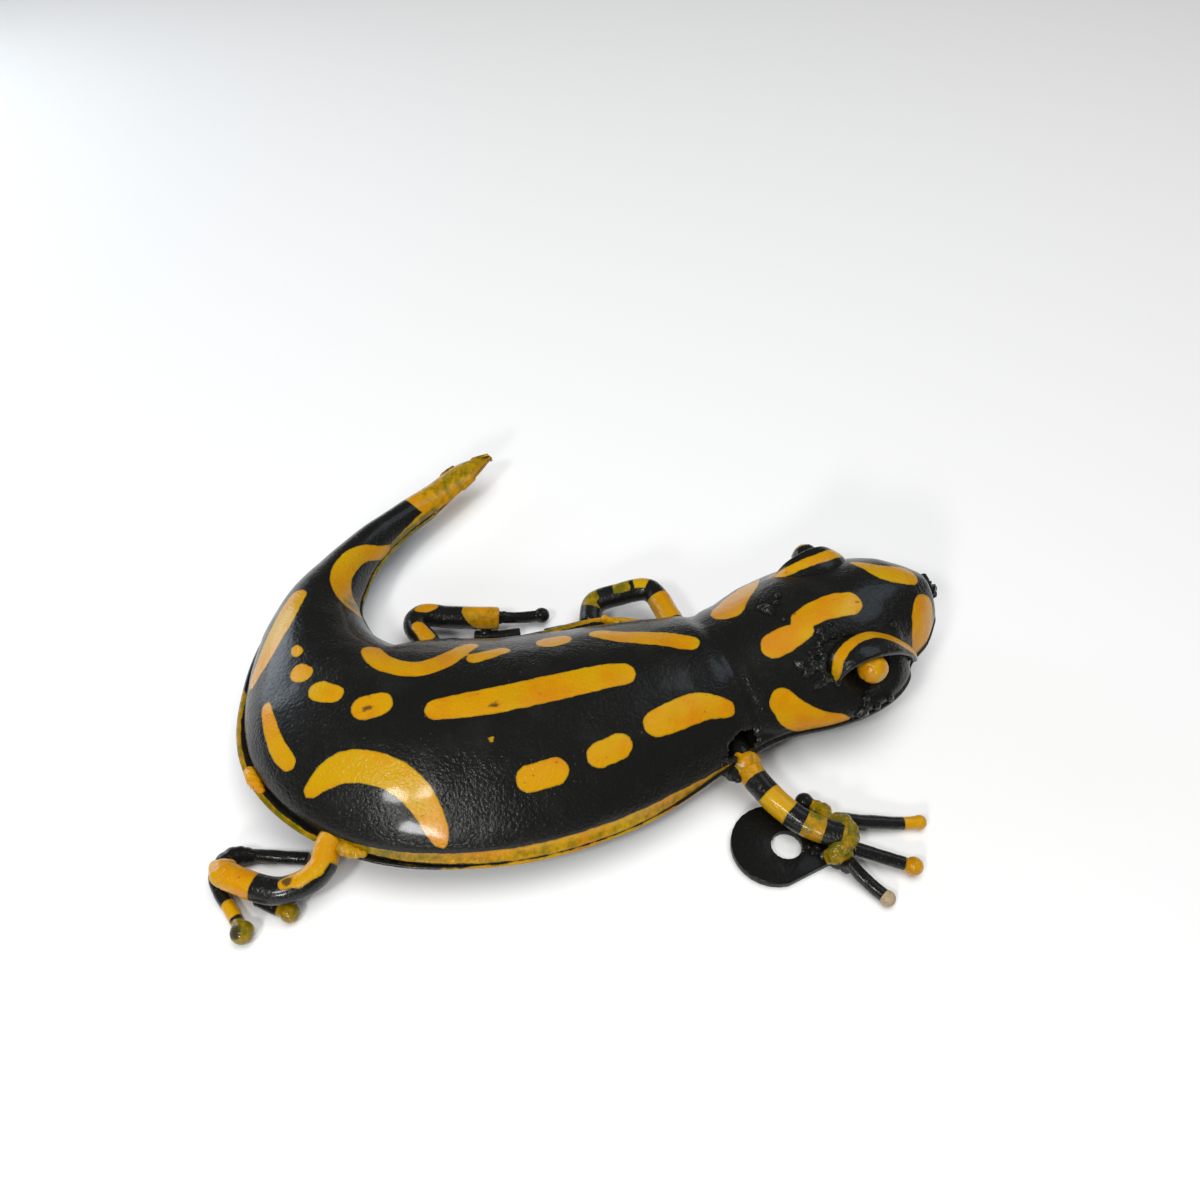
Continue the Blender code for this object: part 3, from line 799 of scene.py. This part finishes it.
for side, word in ((1, "Left"), (-1, "Right")):
    arch = shapeGrid(hoodForm, lambda x, y: hoodSpot(side, (x + 1) / 2, (y + 1) / 2))
    hood = makePiece("eyeHood" + word, arch, enamel)
    addSheet(hood, hoodForm["gauge"])
    paintOn(hood, [("yellow", hoodStripe(side))])
    if side < 0:
        u, v, radius = hoodForm["chip"]
        setField(hood.data, "bare", softSpot(places(hood.data), [(hoodSpot(side, u, v), radius)] * 2, 1))
    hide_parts("eye_hood_" + word.lower())
    eye = makePiece("eye" + word, castEye(side), enamel)
    ball = besideSpine(side, hoodForm["eyes"][side])
    if side < 0:
        # the near eye is yellow all over and olive on its lower part: painted shade under the ball
        shadeUnder = [(ball - upward * 4, 4), (ball - upward * 6, 4)]
        paintOn(eye, [("yellow", [(ball, 20)] * 2)], [(shadeUnder, 8)])
    else:
        # the far eye is left black but for a yellow spot on its outer top with olive round it: the black is
        # painted shade on what is a yellow ball
        top = ball + Vector((-2, 6.0, 2.2))
        paintOn(eye, [("yellow", [(top, 5.4), (top + Vector((1, 0, 0)), 5.4)])], [([(top, 5)] * 2, 16)])
    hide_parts("eye_" + word.lower())
print("head fitted")


# rods and their bands: from and to in millimetres along the rod, lean of the ends, how thin the paint is,
# and for some how far up the rod's back the brush stopped

legBands = {
    "legFrontRight": [(20.5, 31.5, 0.1, 0.3), (40, 53, 0, 0.15), (60.5, 69.5, 0, 0.75), (77.5, 90, 0, 1.0)],
    "legRearRight": [(-5, 24, 0, 0.1), (57, 90, 0, 0)],
    "legRearLeft": [(69, 90, 1.0, 0.4)],
    "legFrontLeft": [(15, 33, 0.2, 0.1), (40, 47.5, 0, 0.1, 0.8), (49.5, 58, 0, 0.9, 0.8),
                     (66, 74, 0, 0.9, 0.8)],
    "toeFrontRight1": [(30, 60, 0, 0)],
    "toeFrontRight2": [(23.5, 60, 0, 0.2)],
    "toeRearRight1": [(61.5, 71, 0, 0.1), (73, 100, 0, 0.95)],
    "toeRearRight2": [(12, 40, 0, 0.75)],
    "toeFrontRight4": [(-5, 8.5, 0, 0.7)],
}
# patches on one side of a rod: along it, to its left, above it, radius
legPatches = {
    "legRearRight": [[(12, 0, 3, 8.5), (20, -1.5, 3.5, 7.4), (29, -2, 4, 6.4), (37, -1, 4.5, 4.8),
                      (43, 0, 5.5, 2.6)]],
    "legRearLeft": [[(40, 0, 5, 2.5), (47, 2, 5, 4.5)], [(17, 0, 4, 4.0), (26, 0, 5, 3.5)]],
    "legFrontLeft": [[(20, -4, 2, 4.5), (16, -6, 0, 3.5)]],
}
bareEnds = {"toeFrontRight3": 20.2}
# dark smears: along the rod, to its left, above it, radius
rodSmears = {"legRearRight": (42, -0.5, 6, 2.4), "toeRearRight1": (200, -2, 2.5, 3.6)}
rodBack = np.array((0, 0.74, 0.67))    # the way that a stopped band is measured in


def placeRod(name, rod, radius, sides):
    seed = float(len(bpy.data.objects))    # so each rod wanders in its own way
    bm = sweepRod(rod["line"], radius, sides, rod.get("ball", 0), seed)
    piece = makePiece(name, bm, enamel)
    spots, aims = rodPath(rod["line"], radius)
    steps = np.array(spots)
    run = np.concatenate(([0], np.cumsum(np.linalg.norm(np.diff(steps, axis=0), axis=1))))
    points = places(piece.data)
    near = np.argmin(((points[:, None, :] - steps[None]) ** 2).sum(axis=2), axis=1)
    offset = points - steps[near]
    reach = run[near] + np.einsum("ij,ij->i", offset, np.array([aims[k] for k in near]))

    def besideRod(along, left, above, size):
        k = int(np.argmin(abs(run - along)))
        return spots[k] + upward.cross(aims[k]).normalized() * left + upward * above, size

    patches = [[besideRod(*mark) for mark in patch] for patch in legPatches.get(name, [])]
    field = brushed(points, [("yellow", chain) for chain in patches])
    thin = np.zeros(len(points))
    for start, end, lean, oliveShare, *stop in legBands.get(name, []):
        slanted = reach + lean * offset[:, 2]
        inside = np.minimum(slanted - start, end - slanted)
        for height in stop:
            inside = np.minimum(inside, offset @ rodBack - height)
        field = np.maximum(field, inside)
        thin = np.where(inside > -1, oliveShare, thin)
    setField(piece.data, "paint", field)
    setField(piece.data, "thin", thin)
    if name in rodSmears:
        smear = besideRod(*rodSmears[name])
        setField(piece.data, "grime", softSpot(points, [smear, smear], 2))
    if name in bareEnds:
        setField(piece.data, "bare", np.clip((reach - bareEnds[name]) * 2, 0, 1))
    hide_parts(rod["node"])


for rods, kind in ((legRods, "leg"), (toeRods, "toe")):
    for name, rod in rods.items():
        placeRod(name, rod, rodStock[kind], rodStock[kind + "Sides"])
print("rods bent")


# weld metal: beads fused where they touch; on the dome they are (station, across, radius)

domeBeads = {
    "weldBrow": [(15.12, -0.31, 2.5), (14.95, -0.31, 2.2), (14.65, -0.35, 2.5), (14.7, -0.41, 3.0),
                 (14.8, -0.41, 2.5), (14.6, -0.33, 2.1), (14.8, -0.52, 2.4), (14.92, -0.51, 2.2),
                 (15.0, -0.4, 3.0), (15.02, -0.47, 2.7), (15.73, -0.26, 2.1), (15.83, -0.27, 2.0),
                 (15.33, -0.2, 2.6), (15.35, -0.24, 2.4), (15.5, -0.25, 1.9), (16.75, -0.39, 2.0),
                 (15.58, -0.17, 1.5), (15.2, -0.26, 2.2), (15.1, -0.5, 2.1), (15.22, -0.55, 1.9),
                 (15.14, -0.36, 2.4), (14.86, -0.36, 2.0)],
    "weldCrown": [(14.68, 0.12, 2.9), (14.7, 0.08, 2.3), (14.6, 0.16, 2.0), (14.83, -0.01, 1.5),
                  (14.92, 0.14, 1.7), (15.05, 0.2, 1.8)],
    "weldJaw": [(15.68, -0.78, 2.3), (15.73, -0.74, 1.7), (15.56, -1, 3.0), (15.82, -1, 2.1),
                (16.05, -0.96, 2.1), (15.62, -0.84, 1.6), (15.45, -0.98, 1.6)],
    "weldShoulder": [(12.85, -0.93, 1.5), (12.8, -0.84, 1.3), (12.72, -0.9, 1.2), (12.95, -0.97, 1.8)],
}
looseBeads = {
    "weldNose": {
        "node": "nose_weld", "jag": 0.75,
        "beads": [(162.4, 33.4, 34.6, 2.4), (164.6, 31.6, 34.4, 3.0), (166.6, 29.2, 33.8, 2.8),
                  (168.6, 27.0, 33.0, 3.1), (168.6, 24.4, 31.8, 2.4), (165.8, 27.8, 31.8, 3.2)],
    },
    "weldFootRight": {
        "jag": 0.3, "thin": 1.0,
        "beads": [(107.6, -92.4, 8.8, 3.7), (108.8, -94.8, 9.6, 4.8), (109.8, -98.4, 10.2, 5.7),
                  (109.2, -102.6, 10.0, 5.8), (106.6, -106.4, 9.2, 5.5), (103.4, -108.8, 7.6, 4.7)],
        "yellow": [((107, -91, 9), 6.5), ((111, -98, 12), 7.5), ((104, -109, 9), 6.5)],
    },
    "weldToeBack": {
        "jag": 0.2, "thin": 0.85,
        "beads": [(98.4, -86.2, 8.8, 3.8), (100.4, -88.4, 9.2, 4.5), (101.4, -91.6, 9.6, 4.2)],
        "yellow": [((98.8, -86.4, 9), 6), ((103, -90, 9), 7)],
    },
    "weldFootUnder": {
        "jag": 0.4,
        "beads": [(104, -110, 4.2, 3.4), (108.5, -112, 5.0, 3.4), (99, -107, 4.4, 2.6),
                  (94.6, -105.4, 4.0, 2.0), (92.8, -102.6, 4.0, 1.5), (96.8, -103.2, 4.2, 1.8),
                  (90.6, -104.8, 3.9, 1.2)],
    },
    "weldLegFrontRight": {
        "jag": 0.16, "thin": 0.4,
        "beads": [(67.0, -67.2, 16.3, 7.3), (64.6, -69.2, 14.8, 5.6), (69.4, -66.0, 15.6, 5.6),
                  (66.0, -65.6, 16.4, 6.9)],
        "yellow": [((67, -67, 18), 10), ((64, -70, 15), 7.5)],
    },
    "weldShoulderRim": {
        "jag": 0.3,
        "beads": [(56.2, -71.6, 18, 3.0), (60.4, -72.8, 17, 3.4), (63, -74, 15.4, 2.4)],
    },
    "weldHairpin": {
        "jag": 0.05,
        "beads": [(-154.4, -107.3, 3.6, 3.4), (-156.6, -107.4, 4.2, 4.0), (-159.4, -107.8, 4.8, 4.6),
                  (-161.6, -108.8, 5.2, 5.0), (-164.6, -110.8, 5.1, 4.7), (-166.6, -113.6, 4.7, 4.1)],
    },
    "weldFootRear": {
        "jag": 0.16,
        "beads": [(-160.5, -120.2, 12.2, 6.3), (-163.2, -118.4, 11.4, 5.4)],
        "yellow": [((-162.5, -119.4, 15), 10), ((-165, -117, 15), 10)],
    },
    "weldHipRim": {
        "jag": 0.08, "thin": 0.5,
        "beads": [(-109.6, -112.6, 20.6, 3.4), (-106.8, -113.8, 20.4, 3.0), (-103.8, -114.6, 20.2, 2.4),
                  (-100.8, -115.0, 20.2, 1.8)],
        "yellow": [((-108.8, -113.4, 20.4), 8), ((-102, -114, 20), 8)],
    },
    "weldRumpRim": {
        "jag": 0.14, "thin": 0.15,
        "beads": [(-158.4, -74.4, 20.4, 2.8), (-157.3, -76.2, 20.6, 3.2), (-156.0, -78.2, 20.6, 3.2),
                  (-154.4, -80.2, 20.6, 3.0), (-152.8, -82.2, 20.4, 2.6), (-151.2, -84.0, 20.2, 1.9)],
        "yellow": [((-158.4, -74.4, 20.4), 8), ((-151, -83, 20), 8)],
    },
    "weldFarRim": {
        "jag": 0.3, "thin": 0.2,
        "beads": [(2.6, 14.4, 23.6, 2.4), (5.2, 13.6, 23.2, 2.2), (8.6, 12.6, 22.8, 1.9)],
        "yellow": [((2.6, 14.4, 23.6), 8), ((9, 12, 23), 8)],
    },
    "weldFootRearLeft": {
        "jag": 0.15,
        "beads": [(-53.6, 28.4, 9.2, 3.6), (-51, 29.2, 8.6, 3.2), (-49, 29.4, 8.2, 2.9), (-60, 21.5, 5, 3.4)],
    },
    "weldFootFrontLeft": {
        "jag": 0.15,
        "beads": [(-6.5, 22.5, 7.4, 4.6), (-9.5, 23.5, 5.0, 3.6), (-7, 18.5, 5.6, 3.4), (-4, 19, 5.6, 3.4)],
    },
    "weldTail": {
        "jag": 0.3, "thin": 0.9,
        "beads": [(-109.8, -0.6, 22.4, 1.6), (-107.6, -1.4, 22.4, 1.3)],
        "yellow": [((-109.8, -0.4, 22), 4), ((-107, -1, 22), 4)],
    },
}
weldLook = {"voxel": 0.45, "jag": 0.35, "lumps": 1.5, "pits": 3.6, "pitShare": 0.5, "relax": 4}


def dropWeld(name, beads, weld):
    bm = bmesh.new()
    jag = weld.get("jag", weldLook["jag"])
    for k, (spot, radius) in enumerate(beads):
        bead = bmesh.ops.create_icosphere(bm, subdivisions=3, radius=radius)
        for vert in bead["verts"]:
            uneven = noise.noise(vert.co * (weldLook["lumps"] / radius) + Vector((k * 3.1, 0, 0)))
            pit = noise.noise(vert.co * (weldLook["pits"] / radius) + Vector((0, k * 2.3, 0)))
            uneven += weldLook["pitShare"] * pit
            vert.co = spot + vert.co * (1 + jag * uneven)
    piece = makePiece(name, bm, enamel)
    fuse = piece.modifiers.new("fuse", "REMESH")
    fuse.mode = "VOXEL"
    fuse.voxel_size = weldLook["voxel"] * mm
    fuse.use_smooth_shade = True
    relax = piece.modifiers.new("relax", "SMOOTH")
    relax.factor, relax.iterations = 0.5, weldLook["relax"]
    settle(piece)
    chain = [(Vector(place), radius) for place, radius in weld.get("yellow", [])]
    paintOn(piece, [("yellow", chain)] if chain else [])
    setField(piece.data, "thin", np.full(len(piece.data.vertices), weld.get("thin", 0.0)))
    if "node" in weld:
        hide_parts(weld["node"])


for name, marks in domeBeads.items():
    crown = 1 - domeSheet["lipShare"]
    dropWeld(name, [(domeSpot(t, across * crown), radius) for t, across, radius in marks], {})
for name, weld in looseBeads.items():
    dropWeld(name, [(Vector(place), radius) for *place, radius in weld["beads"]], weld)
print("welds dropped")


# the fixing tab: its plate with softened edges

tabEdge = {"radius": 0.0006, "segments": 3, "weld": 0.00002}    # metres


def softenTab():
    node = frame["nodes"]["fixing_tab"]
    bm = bmesh.new()
    bm.from_mesh(node.data)
    bmesh.ops.remove_doubles(bm, verts=bm.verts, dist=tabEdge["weld"])
    bmesh.ops.dissolve_limit(bm, angle_limit=radians(2), verts=bm.verts, edges=bm.edges)
    rims = [edge for edge in bm.edges if edge.calc_face_angle(0) > radians(60)]
    bmesh.ops.bevel(bm, geom=rims, offset=tabEdge["radius"], offset_type="OFFSET", affect="EDGES",
                    segments=tabEdge["segments"], profile=0.5, material=-1)
    bmesh.ops.scale(bm, vec=(1 / mm, 1 / mm, 1 / mm), verts=bm.verts)
    bmesh.ops.translate(bm, vec=-bodyForm["toMiddle"], verts=bm.verts)
    tab = makePiece("fixingTab", bm, tabEnamel)
    tab.data.set_sharp_from_angle(angle=radians(50))
    setField(tab.data, "paint", np.full(len(tab.data.vertices), -20.0))
    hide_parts("fixing_tab")


softenTab()


# light and camera

cameraPlace = {
    "aim": Vector((0.0005, 0.0501, 0)), "distance": 0.566, "above": 48, "lens": 31.05, "sensor": 36,
}


def lookFrom(piece, target):
    piece.rotation_euler = (target - piece.location).to_track_quat("-Z", "Y").to_euler()


def setCamera():
    place = cameraPlace
    camera = bpy.data.objects.new("camera", bpy.data.cameras.new("camera"))
    camera.data.lens = place["lens"]
    camera.data.sensor_width = place["sensor"]
    lift = radians(place["above"])
    camera.location = place["aim"] + place["distance"] * Vector((0, -cos(lift), sin(lift)))
    lookFrom(camera, place["aim"])
    bpy.context.scene.collection.objects.link(camera)
    bpy.context.scene.camera = camera


studioLights = {    # white and mirrored in the enamel, unless they say otherwise
    "overhead": {"at": (0.35, 0.05, 2.4), "size": 2.6, "watts": 60, "mirrored": False},
    "hipGlintLow": {"at": (-0.32, -1.05, 0.54), "size": 0.17, "watts": 4.2},
    "hipGlintHigh": {"at": (-0.43, -0.70, 0.89), "size": 0.19, "watts": 4.2},
    "window": {"at": (-1.0, 0.55, 0.3), "size": 0.7, "watts": 4.5, "colour": (0.78, 0.88, 1)},
    "backHigh": {"at": (0.66, 0.36, 0.92), "size": 0.62, "watts": 1.6, "colour": (0.72, 0.84, 1),
                 "glossOnly": True},
}
lightAim = Vector((0, 0, 0.02))
studioWorld = {"lighting": 0.09, "seen": 0.75, "colour": (0.96, 0.98, 1.0, 1)}
floorLook = {"reach": 4, "roughness": 0.8, "colour": (0.82, 0.82, 0.81, 1)}


def setLights():
    for name, lamp in studioLights.items():
        light = bpy.data.lights.new(name, "AREA")
        light.energy, light.size, light.shape = lamp["watts"], lamp["size"], "DISK"
        light.color = lamp.get("colour", (1, 1, 1))
        piece = bpy.data.objects.new(name, light)
        piece.location = lamp["at"]
        piece.visible_glossy = lamp.get("mirrored", True)
        piece.visible_diffuse = not lamp.get("glossOnly", False)
        lookFrom(piece, lightAim)
        bpy.context.scene.collection.objects.link(piece)
    world = bpy.data.worlds.new("studio")
    world.use_nodes = True
    tree = world.node_tree
    dim, pale = tree.nodes["Background"], tree.nodes.new("ShaderNodeBackground")
    for shade, use in ((dim, "lighting"), (pale, "seen")):
        shade.inputs["Color"].default_value = studioWorld["colour"]
        shade.inputs["Strength"].default_value = studioWorld[use]
    seen, choice = tree.nodes.new("ShaderNodeLightPath"), tree.nodes.new("ShaderNodeMixShader")
    tree.links.new(seen.outputs["Is Camera Ray"], choice.inputs[0])
    tree.links.new(dim.outputs[0], choice.inputs[1])
    tree.links.new(pale.outputs[0], choice.inputs[2])
    tree.links.new(choice.outputs[0], tree.nodes["World Output"].inputs["Surface"])
    bpy.context.scene.world = world
    bpy.context.scene.view_settings.view_transform = "Standard"


def layFloor():
    bm = bmesh.new()
    bmesh.ops.create_grid(bm, x_segments=4, y_segments=4, size=floorLook["reach"])
    mesh = bpy.data.meshes.new("floor")
    bm.to_mesh(mesh)
    bm.free()
    finish = Finish("paleFloor", roughness=floorLook["roughness"])
    finish.shader.inputs["Base Color"].default_value = floorLook["colour"]
    mesh.materials.append(finish.material)
    floor = bpy.data.objects.new("floor", mesh)
    bpy.context.scene.collection.objects.link(floor)


setCamera()
setLights()
layFloor()
